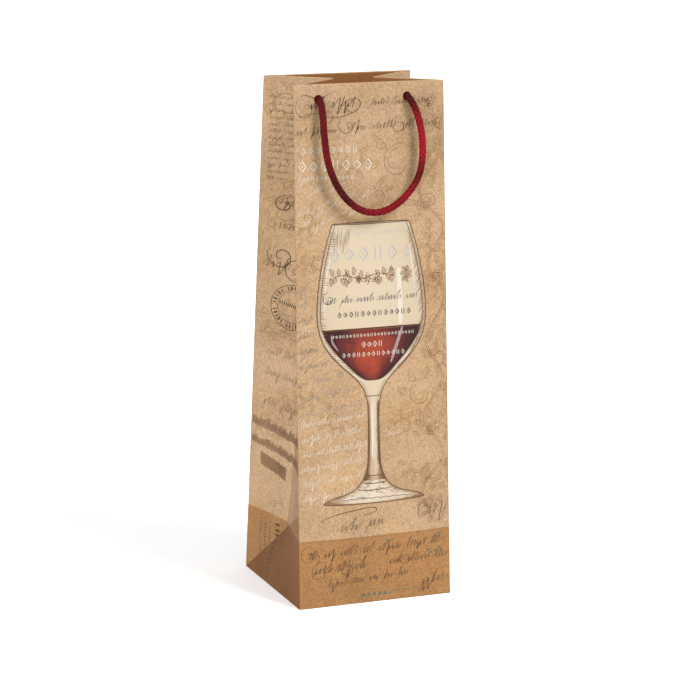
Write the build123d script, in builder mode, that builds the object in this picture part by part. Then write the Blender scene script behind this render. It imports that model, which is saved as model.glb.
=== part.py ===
from build123d import *
from math import asin, cos, pi, radians, sin, tan
import os

os.makedirs("parts", exist_ok=True)

# A paper gift bag for one wine bottle: a kraft sheet folded into a square tube with a block bottom,
# its mouth drawn together so that the two gussets fold inward, and two braided cord handles.
# Millimetres, +Z up. The origin is the middle of the base, on the surface that the bag stands on.
# The front faces -Y and the back faces +Y.

# Driving dimensions
WIDTH = 110.0  # front and back panels, at the base
MOUTH_WIDTH = 107.0  # the same panels at the mouth, drawn in a little by the folds
DEPTH = 105.0  # gussets, at the base
MOUTH_DEPTH = 55.0  # between the front and back panels at the mouth
PANEL_HEIGHT = 350.0  # measured up the leaning panel
PAPER = 0.4  # kraft paper
CARD = 0.8  # stiffener under the turned-in hem
BOARD = 1.5  # loose base board

CREASE_INSET = 38.0  # gusset crease, in from the panel's edge at the mouth
APEX_INSET = 10.5  # the same crease at its lower end
APEX_HEIGHT = 42.0  # height of that lower end
FOOT_HEIGHT = 64.0  # where the slanting crease meets the front edge

HEM = 38.0  # depth of the turned-in hem
HEM_INSET = 4.0  # hem and card stop this far short of the folded edges
GLUE = 0.1  # glue line under a gusset's hem
SEAM_WIDTH = 14.0  # glue flap inside the back panel
SEAM_LOW = 6.0
FLAP_DEPTH = 72.0  # outer bottom flaps
SIDE_FLAP_DEPTH = 46.0  # inner bottom flaps
FLAP_CHAMFER = 12.0
FLAP_GAP = 0.8  # bottom flaps clear the walls by this much

BOARD_WIDTH = 103.0
BOARD_DEPTH = 100.0
BOARD_CORNER = 3.0
CLEARANCE = 0.3  # between a moving piece and what it lies on

CORD_RADIUS = 2.5
HOLE_RADIUS = 3.0
HOLE_HEIGHT = 340.0  # up the panel
HOLE_XS = (-36.0, 27.0)
HANDLE_OUT = 3.0  # the handle turns about an axis this far in front of the panel
KNOT_RADIUS = 4.4
KNOT_HALF_DEPTH = 3.6
KNOT_ROUND = 3.2
KNOT_TAIL = 13.0
TAIL_RADIUS = 2.1

# Routes of the two handle cords: x, distance out from the panel, and height.
# Each hangs from one hole, round the bottom of its loop and up to the other hole.
FRONT_LOOP = [
    (-36.0, 3.0, 339.4),
    (-35.0, 5.2, 330.5),
    (-35.0, 6.6, 316.0),
    (-33.0, 8.0, 296.0),
    (-24.5, 9.0, 277.5),
    (-10.5, 9.5, 265.5),
    (6.0, 9.5, 264.5),
    (21.5, 9.0, 273.5),
    (33.0, 8.5, 288.5),
    (35.5, 7.0, 309.5),
    (32.3, 5.3, 328.5),
    (27.0, 3.0, 339.4),
]
BACK_LOOP = [
    (-36.0, 3.0, 339.4),
    (-38.5, 5.2, 330.0),
    (-39.5, 6.6, 314.5),
    (-38.0, 8.0, 295.0),
    (-30.0, 9.0, 277.0),
    (-16.0, 9.5, 265.5),
    (1.0, 9.5, 263.0),
    (16.0, 9.0, 270.5),
    (26.5, 8.5, 286.0),
    (30.0, 7.2, 305.5),
    (29.5, 5.2, 326.5),
    (27.0, 3.0, 339.4),
]

# The two walls lean in from the base to the mouth. On each wall plane the local x axis runs
# to the right as seen from outside, the local y axis up the paper, and z out of the bag.
LEAN = asin((DEPTH - MOUTH_DEPTH) / 2 / PANEL_HEIGHT)
MOUTH_Z = PANEL_HEIGHT * cos(LEAN)
FRONT = Plane(origin=(0, -DEPTH / 2, 0), x_dir=(1, 0, 0), z_dir=(0, -cos(LEAN), sin(LEAN)))
BACK = Plane(origin=(0, DEPTH / 2, 0), x_dir=(-1, 0, 0), z_dir=(0, cos(LEAN), sin(LEAN)))
WALLS = {"front": FRONT, "back": BACK}
FACES = {"front": -1, "back": 1}
SIDES = {"left": -1, "right": 1}


def save(piece, label):
    piece.part.label = label
    export_step(piece.part, f"parts/{label}.step")


def half_width(height):
    """Half the width of a wall, at a height up the paper."""
    return (WIDTH - (WIDTH - MOUTH_WIDTH) * height / PANEL_HEIGHT) / 2


def local_holes(wall_name):
    """The two handle holes in a wall plane's own coordinates."""
    return [(-FACES[wall_name] * x, HOLE_HEIGHT) for x in HOLE_XS]


def wall_ply(wall_name, depth, thickness, low, high, inset):
    """A flat ply inside a wall, from low to high up the paper, punched where it has the handle holes."""
    with BuildPart() as ply:
        with BuildSketch(WALLS[wall_name].offset(-depth)):
            with BuildLine():
                Polyline(
                    (-half_width(low) + inset, low),
                    (half_width(low) - inset, low),
                    (half_width(high) - inset, high),
                    (-half_width(high) + inset, high),
                    close=True,
                )
            make_face()
            with Locations(*local_holes(wall_name)):
                Circle(HOLE_RADIUS, mode=Mode.SUBTRACT)
        extrude(amount=-thickness)
    return ply


# Front and back panels, each with a card stiffener and the hem that is turned in over it
for wall_name in WALLS:
    panel = wall_ply(wall_name, 0, PAPER, 0, PANEL_HEIGHT, 0)
    save(panel, f"{wall_name}_panel")

    hem_low = PANEL_HEIGHT - HEM
    stiffener = wall_ply(wall_name, PAPER, CARD, hem_low + PAPER, PANEL_HEIGHT - PAPER, HEM_INSET)
    save(stiffener, f"{wall_name}_stiffener")

    hem = wall_ply(wall_name, PAPER + CARD, PAPER, hem_low, PANEL_HEIGHT, HEM_INSET)
    save(hem, f"{wall_name}_hem")

# Glue flap: the sheet's free edge, stuck inside the back panel along the right-hand fold
with BuildPart() as seam_flap:
    with BuildSketch(BACK.offset(-PAPER)):
        flap_high = PANEL_HEIGHT - HEM - 1
        with BuildLine():
            Polyline(
                (-half_width(SEAM_LOW) + 1, SEAM_LOW),
                (-half_width(SEAM_LOW) + 1 + SEAM_WIDTH, SEAM_LOW + SEAM_WIDTH / 2),
                (-half_width(flap_high) + 1 + SEAM_WIDTH, flap_high),
                (-half_width(flap_high) + 1, flap_high),
                close=True,
            )
        make_face()
    extrude(amount=-PAPER)
save(seam_flap, "seam_flap")


# Gussets. Each half is a twisted strip between the wall's edge and the centre crease, so it is
# lofted between level sections. Its lower end runs out to a point along the slanting crease,
# and the foot below that crease is a piece of its own.
def edge_point(side, face, z):
    """The gusset's edge, just inside the fold where it meets a wall."""
    across = half_width(z / cos(LEAN))
    out = DEPTH / 2 - z * tan(LEAN) - PAPER - CLEARANCE
    return Vector(side * across, face * out)


def crease_point(side, z):
    """The centre crease, from its lower end up to the mouth."""
    share = (z - APEX_HEIGHT) / (MOUTH_Z - APEX_HEIGHT)
    inset = APEX_INSET + (CREASE_INSET - APEX_INSET) * share
    return Vector(side * (half_width(z / cos(LEAN)) - inset), 0)


def strip_sketch(start, end, depth, ply, z):
    """A level section through a strip of paper: from start to end, depth plies in, one ply thick."""
    outer = [start + ply * depth, end + ply * depth]
    inner = [end + ply * (depth + PAPER), start + ply * (depth + PAPER)]
    with BuildSketch(Plane.XY.offset(z)) as section:
        with BuildLine():
            Polyline(*[(p.X, p.Y) for p in outer + inner], close=True)
        make_face()
    return section.sketch


for side_name, side in SIDES.items():
    for wall_name, face in FACES.items():
        inward = Vector(-side, face) * 0.75
        base = APEX_HEIGHT if wall_name == "back" else FOOT_HEIGHT
        if wall_name == "back":
            tip = Vertex(edge_point(side, face, 0))
        else:
            tip = Vertex(crease_point(side, APEX_HEIGHT) + Vector(0, 0, APEX_HEIGHT))
        low = strip_sketch(edge_point(side, face, base), crease_point(side, base), 0, inward, base)
        top = strip_sketch(edge_point(side, face, MOUTH_Z), crease_point(side, MOUTH_Z), 0, inward, MOUTH_Z)
        with BuildPart() as gusset_half:
            loft(sections=[tip, low], ruled=True)
            loft(sections=[low, top], ruled=True)
        save(gusset_half, f"{side_name}_gusset_{wall_name}_half")

        hem_ends = []
        for z in (MOUTH_Z - HEM, MOUTH_Z):
            edge, crease = edge_point(side, face, z), crease_point(side, z)
            start = edge + (crease - edge).normalized() * HEM_INSET
            hem_ends.append(strip_sketch(start, crease, PAPER + GLUE, inward, z))
        with BuildPart() as gusset_hem:
            loft(sections=hem_ends, ruled=True)
        save(gusset_hem, f"{side_name}_gusset_{wall_name}_hem")

    level = Vector(-side, 0)
    foot_low = strip_sketch(edge_point(side, -1, 0), edge_point(side, 1, 0), 0, level, 0)
    foot_mid = strip_sketch(
        edge_point(side, -1, APEX_HEIGHT), crease_point(side, APEX_HEIGHT), 0, level, APEX_HEIGHT
    )
    foot_tip = Vertex(edge_point(side, -1, FOOT_HEIGHT) + Vector(0, 0, FOOT_HEIGHT))
    with BuildPart() as gusset_foot:
        loft(sections=[foot_low, foot_mid], ruled=True)
        loft(sections=[foot_mid, foot_tip], ruled=True)
    save(gusset_foot, f"{side_name}_gusset_foot")

# Block bottom: two outer flaps overlap in the middle, over two inner flaps from the sides
FLAP_WIDTH = WIDTH - 2 * (PAPER + FLAP_GAP)
FLAP_START = DEPTH / 2 - PAPER - FLAP_GAP
for layer, (wall_name, face) in enumerate(FACES.items()):
    with BuildPart() as outer_flap:
        with BuildSketch(Plane.XY.offset(layer * PAPER)):
            with BuildLine():
                Polyline(
                    (-FLAP_WIDTH / 2, face * FLAP_START),
                    (FLAP_WIDTH / 2, face * FLAP_START),
                    (FLAP_WIDTH / 2, face * (FLAP_START - FLAP_DEPTH + FLAP_CHAMFER)),
                    (FLAP_WIDTH / 2 - FLAP_CHAMFER, face * (FLAP_START - FLAP_DEPTH)),
                    (-FLAP_WIDTH / 2 + FLAP_CHAMFER, face * (FLAP_START - FLAP_DEPTH)),
                    (-FLAP_WIDTH / 2, face * (FLAP_START - FLAP_DEPTH + FLAP_CHAMFER)),
                    close=True,
                )
            make_face()
        extrude(amount=PAPER)
    save(outer_flap, f"{wall_name}_bottom_flap")

for side_name, side in SIDES.items():
    with BuildPart() as inner_flap:
        with BuildSketch(Plane.XY.offset(2 * PAPER)):
            with BuildLine():
                Polyline(
                    (side * FLAP_WIDTH / 2, -FLAP_START),
                    (side * (FLAP_WIDTH / 2 - SIDE_FLAP_DEPTH), -FLAP_START + SIDE_FLAP_DEPTH / 2),
                    (side * (FLAP_WIDTH / 2 - SIDE_FLAP_DEPTH), FLAP_START - SIDE_FLAP_DEPTH / 2),
                    (side * FLAP_WIDTH / 2, FLAP_START),
                    close=True,
                )
            make_face()
        extrude(amount=PAPER)
    save(inner_flap, f"{side_name}_bottom_flap")

# Base board: a loose card plate that lies on the flaps and keeps the base flat
with BuildPart() as base_board:
    with BuildSketch(Plane.XY.offset(3 * PAPER + CLEARANCE)):
        RectangleRounded(BOARD_WIDTH, BOARD_DEPTH, BOARD_CORNER)
    extrude(amount=BOARD)
save(base_board, "base_board")


# Knots: each cord end is tied inside the mouth. The knot, its tail and the short run of cord
# through the hole stay with the bag.
HEM_DEPTH = 2 * PAPER + CARD
KNOT_CENTRE = HEM_DEPTH + PAPER / 2 + KNOT_HALF_DEPTH
STUB_END = HANDLE_OUT - CORD_RADIUS - CLEARANCE
for wall_name, wall in WALLS.items():
    for side_name, (x, y) in zip(("left", "right"), sorted(local_holes(wall_name))):
        centre = wall.from_local_coords(Vector(x, y, -KNOT_CENTRE))
        with BuildPart() as knot:
            with Locations(Plane(origin=centre, x_dir=wall.x_dir, z_dir=wall.z_dir)):
                Cylinder(KNOT_RADIUS, 2 * KNOT_HALF_DEPTH)
            fillet(knot.edges().filter_by(GeomType.CIRCLE), KNOT_ROUND)
            with BuildSketch(wall.offset(-KNOT_CENTRE)):
                with Locations((x, y)):
                    Circle(CORD_RADIUS)
            extrude(amount=KNOT_CENTRE + STUB_END)
            with BuildSketch(Plane(origin=centre, z_dir=-wall.y_dir)):
                Circle(TAIL_RADIUS)
            extrude(amount=KNOT_TAIL)
        save(knot, f"{wall_name}_{side_name}_knot")


# Handles: a braided cord hangs as a loop from the two holes of each wall. It is a round tube
# along straight runs joined by the largest tangent arcs that they allow.
def loop_points(route, face):
    return [
        Vector(x, face * (DEPTH / 2 - z * tan(LEAN) + out / cos(LEAN)), z) for x, out, z in route
    ]


def arc_radii(points):
    radii = []
    for before, corner, after in zip(points, points[1:], points[2:]):
        first, second = corner - before, after - corner
        half_turn = radians(first.get_angle(second)) / 2
        radii.append(0.45 * min(first.length, second.length) / tan(half_turn))
    return radii


for wall_name, route in (("front", FRONT_LOOP), ("back", BACK_LOOP)):
    points = loop_points(route, FACES[wall_name])
    radii = arc_radii(points)
    with BuildPart() as handle:
        with BuildLine() as centreline:
            FilletPolyline(*points, radius=radii)
        with BuildSketch(Plane(origin=points[0], z_dir=centreline.line % 0)):
            Circle(CORD_RADIUS)
        sweep(path=centreline.line)
        tube_volume = handle.part.volume
        with Locations(points[0], points[-1]):
            Sphere(CORD_RADIUS)
    length = sum(edge.length for edge in centreline.edges())
    print(wall_name, "handle: arc radii", [round(r, 1) for r in radii], "length", round(length, 1))
    print("  tube volume", round(tube_volume, 1), "section times length", round(pi * CORD_RADIUS**2 * length, 1))
    save(handle, f"{wall_name}_handle")
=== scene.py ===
import math
import random

import bmesh
import bpy
import numpy as np
from mathutils import Matrix, Vector


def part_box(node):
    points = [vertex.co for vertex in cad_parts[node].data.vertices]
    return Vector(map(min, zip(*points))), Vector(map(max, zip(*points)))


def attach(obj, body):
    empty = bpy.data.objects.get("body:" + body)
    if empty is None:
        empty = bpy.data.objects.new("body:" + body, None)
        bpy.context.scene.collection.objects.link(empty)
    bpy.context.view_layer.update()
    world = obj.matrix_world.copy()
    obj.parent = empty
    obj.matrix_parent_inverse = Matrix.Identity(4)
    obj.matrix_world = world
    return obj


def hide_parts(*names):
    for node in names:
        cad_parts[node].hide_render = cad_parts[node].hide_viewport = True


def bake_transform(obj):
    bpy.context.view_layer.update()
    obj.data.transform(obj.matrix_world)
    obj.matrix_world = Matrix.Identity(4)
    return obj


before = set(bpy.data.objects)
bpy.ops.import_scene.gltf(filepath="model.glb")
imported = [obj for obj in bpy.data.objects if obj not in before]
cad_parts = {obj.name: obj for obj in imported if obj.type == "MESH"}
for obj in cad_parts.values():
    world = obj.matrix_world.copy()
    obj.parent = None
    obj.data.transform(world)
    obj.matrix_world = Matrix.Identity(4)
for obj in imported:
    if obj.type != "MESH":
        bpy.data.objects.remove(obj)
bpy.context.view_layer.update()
scene = bpy.context.scene


# Camera, floor and light. The bag stands on a plain pale floor in an even studio light,
# seen a little from the left and from above, through a long lens.
aim = Vector((0, 0, 0.18))
distance = 1.8323
yaw, pitch, tilt = math.radians(22.39), math.radians(12.37), math.radians(0.77)
level = Vector((math.cos(yaw), -math.sin(yaw), 0))
forward = Vector((math.cos(pitch) * math.sin(yaw), math.cos(pitch) * math.cos(yaw), -math.sin(pitch)))
over = level.cross(forward)
right = math.cos(tilt) * level + math.sin(tilt) * over
up = math.cos(tilt) * over - math.sin(tilt) * level


def added(name, data):
    """A new object in the scene."""
    made = bpy.data.objects.new(name, data)
    scene.collection.objects.link(made)
    return made


camera = added("camera", bpy.data.cameras.new("camera"))
camera.data.lens = 141.2
camera.data.shift_x = -0.0086
camera.data.shift_y = -0.0272
facing = Matrix((right, up, -forward)).transposed().to_4x4()
camera.matrix_world = Matrix.Translation(aim - forward * distance) @ facing
scene.camera = camera
scene.view_settings.view_transform = "Standard"


def wire(socket, value):
    """Gives a socket a number or a colour, or a link from another socket."""
    if isinstance(value, (int, float, tuple)):
        socket.default_value = value
    else:
        socket.id_data.links.new(value, socket)


def feed(made, **values):
    """Wires a node's inputs by name."""
    for name, value in values.items():
        wire(made.inputs[name.replace("_", " ")], value)


def new_material(name, roughness=0.7, specular=0.3):
    """A material with one Principled shader, its nodes, and that shader."""
    material = bpy.data.materials.new(name)
    material.use_nodes = True
    shader = material.node_tree.nodes["Principled BSDF"]
    feed(shader, Roughness=roughness, Specular_IOR_Level=specular)
    return material, material.node_tree, shader


def linear(red, green, blue):
    """A paint-chart colour, 0 to 255, as the linear colour that a shader takes."""
    shares = [c / 255 for c in (red, green, blue)]
    return (*[s / 12.92 if s <= 0.04045 else ((s + 0.055) / 1.055) ** 2.4 for s in shares], 1)


floor_half = 12.0
floor_mesh = bpy.data.meshes.new("floor")
corners = [(x * floor_half, y * floor_half, 0) for x, y in ((-1, -1), (1, -1), (1, 1), (-1, 1))]
floor_mesh.from_pydata(corners, [], [(0, 1, 2, 3)])
floor = added("floor", floor_mesh)
floor.location.z = -0.0002
paper_white, tree, shader = new_material("floor_white", roughness=0.9, specular=0.1)
feed(shader, Base_Color=(0.92, 0.92, 0.92, 1))
floor_mesh.materials.append(paper_white)

world = bpy.data.worlds.new("studio")
world.use_nodes = True
feed(world.node_tree.nodes["Background"], Color=(1, 1, 1, 1), Strength=0.68)
scene.world = world
# Each lamp: the way towards it, its strength, and how wide it looks from the bag
lights = {
    "key": ((0.400, -0.630, 0.666), 4.4, 0.34),
    "fill": ((-0.950, -0.250, 0.150), 6.0, 1.30),
}
for name, (toward, power, spread) in lights.items():
    lamp = bpy.data.lights.new(name, "SUN")
    lamp.energy = power
    lamp.angle = spread
    added(name, lamp).rotation_euler = Vector(toward).to_track_quat("Z", "Y").to_euler()


# Handles: a soft braided cord on each wall, 5 mm thick, pushed through two holes and knotted
# inside. It comes straight out of each hole and hangs down the wall as a loop.
# Route points: across, out from the wall, and height.
FRONT_LOOP = [
    (-0.0360, 0.0030, 0.3394),
    (-0.0350, 0.0052, 0.3305),
    (-0.0350, 0.0066, 0.3160),
    (-0.0330, 0.0080, 0.2960),
    (-0.0245, 0.0090, 0.2775),
    (-0.0105, 0.0095, 0.2655),
    (0.0060, 0.0095, 0.2645),
    (0.0215, 0.0090, 0.2735),
    (0.0330, 0.0085, 0.2885),
    (0.0355, 0.0070, 0.3095),
    (0.0323, 0.0053, 0.3285),
    (0.0270, 0.0030, 0.3394),
]
BACK_LOOP = [
    (-0.0360, 0.0030, 0.3394),
    (-0.0385, 0.0052, 0.3300),
    (-0.0395, 0.0066, 0.3145),
    (-0.0380, 0.0080, 0.2950),
    (-0.0300, 0.0090, 0.2770),
    (-0.0160, 0.0095, 0.2655),
    (0.0010, 0.0095, 0.2630),
    (0.0160, 0.0090, 0.2705),
    (0.0265, 0.0085, 0.2860),
    (0.0300, 0.0072, 0.3055),
    (0.0295, 0.0052, 0.3265),
    (0.0270, 0.0030, 0.3394),
]
cord_diameter = 0.005
hole_height = 0.340  # up the wall
hole_depth = 0.002  # run of each loop inside its hole
inner_end_height = 0.33905  # above the floor, where that run stops
cord_pitch = 0.0145  # one turn of a strand round the cord
carriers = 4  # strands each way
spacing_along = 0.0006

front_low, front_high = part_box("front_panel")
half_depth = -front_low.y
mouth_half_depth = 0.0275
mouth_height = front_high.z
lean = math.atan2(half_depth - mouth_half_depth, mouth_height)
walls = {"front": -1, "back": 1}


def wall_y(face, height, out):
    """How far along y a point lies that is out in front of a leaning wall at a height above the floor."""
    return face * (half_depth - height * math.tan(lean) + out / math.cos(lean))


def run_lengths(points):
    """How far along a line each of its points lies."""
    return np.r_[0, np.cumsum(np.linalg.norm(np.diff(points, axis=0), axis=1))]


def along_spline(route):
    """Even points along a smooth curve that has the route's points as its control points."""
    curve = bpy.data.curves.new("route", "CURVE")
    curve.dimensions = "3D"
    curve.resolution_u = 32
    spline = curve.splines.new("NURBS")
    spline.points.add(len(route) - 1)
    for point, place in zip(spline.points, route):
        point.co = (*place, 1)
    spline.order_u = 3
    spline.use_endpoint_u = True
    holder = added("route", curve)
    points = np.array([v.co for v in bpy.data.meshes.new_from_object(holder).vertices])
    bpy.data.objects.remove(holder)
    along = run_lengths(points)
    even = np.linspace(0, along[-1], max(2, round(along[-1] / spacing_along)) + 1)
    return np.stack([np.interp(even, along, points[:, k]) for k in range(3)], axis=1)


def unit(vectors):
    return vectors / np.linalg.norm(vectors, axis=-1, keepdims=True)


def sides_along(points):
    """Two side directions at each point, turning as little as possible along the way."""
    tangent = unit(np.gradient(points, axis=0))
    side = np.zeros_like(tangent)
    start = np.cross(tangent[0], (1, 0, 0))
    side[0] = unit(start if np.linalg.norm(start) > 0.3 else np.cross(tangent[0], (0, 1, 0)))
    for i in range(1, len(points)):
        side[i] = unit(side[i - 1] - tangent[i] * (side[i - 1] @ tangent[i]))
    return side, np.cross(tangent, side)


def quads(index):
    """Faces over a grid of vertex numbers."""
    corners = [index[:-1, :-1], index[:-1, 1:], index[1:, 1:], index[1:, :-1]]
    return np.stack(corners, axis=-1).reshape(-1, 4).tolist()


def tube(points, outward, wide, thick, segments):
    """A closed oval tube along points: its vertices, faces, and each vertex's share of the way round."""
    tangent = unit(np.gradient(points, axis=0))
    across = unit(np.cross(tangent, outward))
    outward = np.cross(across, tangent)
    turn = (np.arange(segments) * 2 * math.pi / segments - math.pi / 2)[None, :, None]
    ring = across[:, None] * np.cos(turn) * wide / 2 + outward[:, None] * np.sin(turn) * thick / 2
    index = np.arange(len(points) * segments).reshape(-1, segments)
    faces = quads(np.c_[index, index[:, 0]]) + [index[0, ::-1].tolist(), index[-1].tolist()]
    return (points[:, None] + ring).reshape(-1, 3), faces, (index % segments / segments).ravel()


def braided(name, points, diameter, pitch):
    """A round braid along points: strands that turn both ways, over and under each other, on a core."""
    side, other = sides_along(points)
    turned = 2 * math.pi / pitch * run_lengths(points)
    middle, swing, wide, thick, core = (share * diameter for share in (0.30, 0.085, 0.47, 0.225, 0.44))
    strand_segments, core_segments, core_sunk = 10, 8, 1.6
    tubes, sunk = [], []
    for way in (1, -1):
        for strand in range(carriers):
            turn = 2 * math.pi * strand / carriers + way * turned
            outward = side * np.cos(turn)[:, None] + other * np.sin(turn)[:, None]
            above = way * np.cos(carriers * turned)
            centre = points + outward * (middle + swing * above)[:, None]
            tubes.append(tube(centre, outward, wide, thick, strand_segments))
            # how far under the others each part of a strand lies, which the cord's material turns into
            # painted shade
            sunk.append(np.repeat(0.5 - 0.5 * above, strand_segments))
    tubes.append(tube(points[1:-1], side[1:-1], core, core, core_segments))
    # the core lies deepest, so the painted shade makes it fully dark
    sunk.append(np.full(len(tubes[-1][0]), core_sunk))
    faces, first = [], 0
    for vertices, own_faces, _ in tubes:
        faces += [[first + k for k in face] for face in own_faces]
        first += len(vertices)
    mesh = bpy.data.meshes.new(name)
    mesh.from_pydata(np.concatenate([made[0] for made in tubes]).tolist(), [], faces)
    for label, values in (("round", [made[2] for made in tubes]), ("sunk", sunk)):
        layer = mesh.attributes.new(label, "FLOAT", "POINT")
        layer.data.foreach_set("value", np.concatenate(values).astype(np.float32))
    mesh.polygons.foreach_set("use_smooth", [True] * len(mesh.polygons))
    mesh.materials.append(cord_red)
    return added(name, mesh)


def node(tree, kind, **values):
    """A node of that kind, with its inputs wired by name."""
    made = tree.nodes.new("ShaderNode" + kind)
    feed(made, **values)
    return made


def attribute(tree, name):
    made = node(tree, "Attribute")
    made.attribute_name = name
    return made.outputs["Fac"]


def object_place(tree):
    return node(tree, "TexCoord").outputs["Object"]


def noise(place, scale, detail, roughness=0.5):
    made = node(place.id_data, "TexNoise", Vector=place, Scale=scale, Detail=detail, Roughness=roughness)
    return made.outputs["Fac"]


def calc(operation, first, second=0.0, clamp=False):
    """A sum of two values, at least one of them a socket."""
    made = (second if isinstance(first, (int, float)) else first).id_data.nodes.new("ShaderNodeMath")
    made.operation = operation
    made.use_clamp = clamp
    for socket, value in zip(made.inputs, (first, second)):
        wire(socket, value)
    return made.outputs[0]


def plus(first, second, clamp=False):
    return calc("ADD", first, second, clamp)


def minus(first, second):
    return calc("SUBTRACT", first, second)


def times(first, second, clamp=False):
    return calc("MULTIPLY", first, second, clamp)


def mixed(share, first, second, way="MIX"):
    """Mixes two colours, each a fixed colour or a socket, by a share from 0 to 1."""
    made = share.id_data.nodes.new("ShaderNodeMix")
    made.data_type = "RGBA"
    made.blend_type = way
    for socket, value in zip([s for s in made.inputs if s.enabled], (share, first, second)):
        wire(socket, value)
    return next(s for s in made.outputs if s.enabled)


def ramp(share, stops):
    """A colour ramp through stops of place, red, green and blue."""
    made = node(share.id_data, "ValToRGB", Fac=share)
    band = made.color_ramp
    while len(band.elements) < len(stops):
        band.elements.new(0.5)
    for element, (place, *colour) in zip(band.elements, stops):
        element.position = place
        element.color = linear(*colour)
    return made.outputs["Color"]


def bump(shader, height, strength, distance):
    made = node(shader.id_data, "Bump", Height=height, Strength=strength, Distance=distance)
    feed(shader, Normal=made.outputs["Normal"])


# Satin yarn: each strand is a flat bundle of fine filaments that run along it, with a painted sheen
# slow along the cord and painted shade at the strands' edges, where they dip under, and on the core
cord_red, tree, shader = new_material("cord_red", roughness=0.5, specular=0.08)
feed(shader, Sheen_Weight=0.05, Sheen_Roughness=0.3, Sheen_Tint=linear(255, 50, 70))
filaments = 7
round_share = attribute(tree, "round")
yarn = plus(times(calc("SINE", times(round_share, 2 * math.pi * filaments)), 0.5), 0.5)
place = object_place(tree)
tone = plus(times(yarn, 0.45), times(noise(place, 900.0, 3.0), 0.6))
# painted sheen: the red turns slowly brighter and darker along the cord
painted_sheen = times(minus(0.48, noise(place, 34.0, 1.0)), 1.1)
red = ramp(plus(tone, painted_sheen, clamp=True), [(0.15, 26, 0, 1), (0.5, 76, 1, 2), (0.9, 156, 9, 32)])
# painted shade: darker at each strand's edges, where a strand dips under, and on the core between
edge = times(minus(calc("ABSOLUTE", minus(round_share, 0.5)), 0.12), 5.0, clamp=True)
gap_shade = plus(edge, times(attribute(tree, "sunk"), 0.75))
gap_shade = times(minus(gap_shade, 0.15), 1.15, clamp=True)
feed(shader, Base_Color=mixed(gap_shade, red, linear(16, 0, 1)))
bump(shader, yarn, 0.35, 0.0001)

for wall_name, route in (("front", FRONT_LOOP), ("back", BACK_LOOP)):
    face = walls[wall_name]
    ends = [(route[k][0], -hole_depth, inner_end_height) for k in (0, -1)]
    line = [(x, wall_y(face, z, out), z) for x, out, z in (ends[0], *route, ends[1])]
    points = along_spline(line)
    handle = braided(f"{wall_name}_cord_handle", points, cord_diameter, cord_pitch)
    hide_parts(f"{wall_name}_handle")
    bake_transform(handle)


# Bag: one sheet of kraft paper, creased into two walls and two gussets, glued down one edge.
# The gussets fold in along a centre crease, with a foot below a slanting crease at the base.
# The sheet is turned in twice: over a card strip at the mouth, and under at the bottom.
base_half = front_high.x
mouth_half = base_half - 0.0015
crease_inset = 0.038  # centre crease, in from the wall's edge at the mouth
apex_inset = 0.0105  # and at its lower end
apex_height = 0.042
foot_height = 0.064  # where the slanting crease meets the front edge
hem = 0.038
hem_depth = 0.0016  # the hem's bare face, behind the wall's outer face
gusset_hem_depth = 0.0009
paper = 0.00035
lip = 0.0007  # height of the rolled edge at the mouth
turn_under = 0.00115
wall_height = math.hypot(mouth_height, half_depth - mouth_half_depth)
hem_low = wall_height - hem
wall_bow = 0.0013  # the walls bow out this far between their folds
gusset_bow = 0.0016
slack = 0.00045  # slow waves in the whole sheet
sides = {"left": -1, "right": 1}


def half_width(height):
    return base_half + (mouth_half - base_half) * height / mouth_height


def fold_depth(height):
    """How far each wall's outer face stands from the middle of the bag."""
    return half_depth - height * math.tan(lean)


def fade(value):
    """0 below 0, 1 above 1, and smooth between them."""
    share = np.clip(value, 0, 1)
    return share * share * (3 - 2 * share)


def waves(a, b):
    """Slow uneven waves, about one high."""
    broad = np.sin(31 * a + 17 * b + 0.7) * 0.5 + np.sin(-23 * a + 39 * b + 2.1) * 0.35
    return broad + np.sin(57 * a + 44 * b + 4.0) * 0.25


def wall_surface(face):
    """A wall's outer face, by its place across and up the paper."""

    def at(x, climb):
        height = climb * math.cos(lean)
        free = fade((hem_low - climb) / 0.03) * fade(climb / 0.05)
        between = np.cos(math.pi / 2 * np.clip(x / half_width(height), -1, 1))
        wave = slack * waves(x * face, climb) * np.sqrt(np.clip(between, 0, 1))
        out = free * (wall_bow * between + wave)
        y = face * (half_depth - climb * math.sin(lean) + out * math.cos(lean))
        return np.stack([x + 0 * climb, y, height + out * math.sin(lean)], axis=-1)

    return at


def slant(q):
    """Height of the slanting crease: q runs across a gusset, from -1 at the front fold to 1 at the back."""
    return np.where(q > 0, apex_height * (1 - q), apex_height - (foot_height - apex_height) * q)


def gusset_inset(q, height):
    """How far a gusset lies in from the walls' edges."""
    crease = np.clip((height - apex_height) / (mouth_height - apex_height), 0, 1)
    crease = apex_inset + (crease_inset - apex_inset) * crease
    rise = np.clip(height / apex_height, 0, 1)
    drop = np.clip((height - apex_height) / (foot_height - apex_height), 1e-6, 1)
    foot = apex_inset * rise * (1 + q) / (2 - rise)
    ridge = apex_inset * (1 - drop)
    front_half = ridge + (crease - ridge) * (q + drop) / drop
    return np.where(height <= slant(q) + 1e-7, foot, np.where(q > 0, crease * (1 - q), front_half))


def gusset_surface(side):
    """A gusset's outer face, by q across it and the height."""

    def at(q, height):
        q, height = np.broadcast_arrays(np.asarray(q, float), np.asarray(height, float))
        over = height - slant(q)
        halves = np.sin(math.pi * np.abs(q))
        upper = fade(over / 0.05) * fade((mouth_height - hem - height) / 0.04)
        lower = np.sin(math.pi * np.clip(height / slant(q).clip(1e-4), 0, 1)) * np.cos(math.pi / 2 * q)
        push = upper * halves * (gusset_bow + slack * waves(q * 0.05 + side, height))
        push = np.where(over > 0, -push, lower * gusset_bow / 2)
        x = half_width(height) - gusset_inset(q, height) + push
        return np.stack([side * x, q * fold_depth(height), height], axis=-1)

    return at


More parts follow.
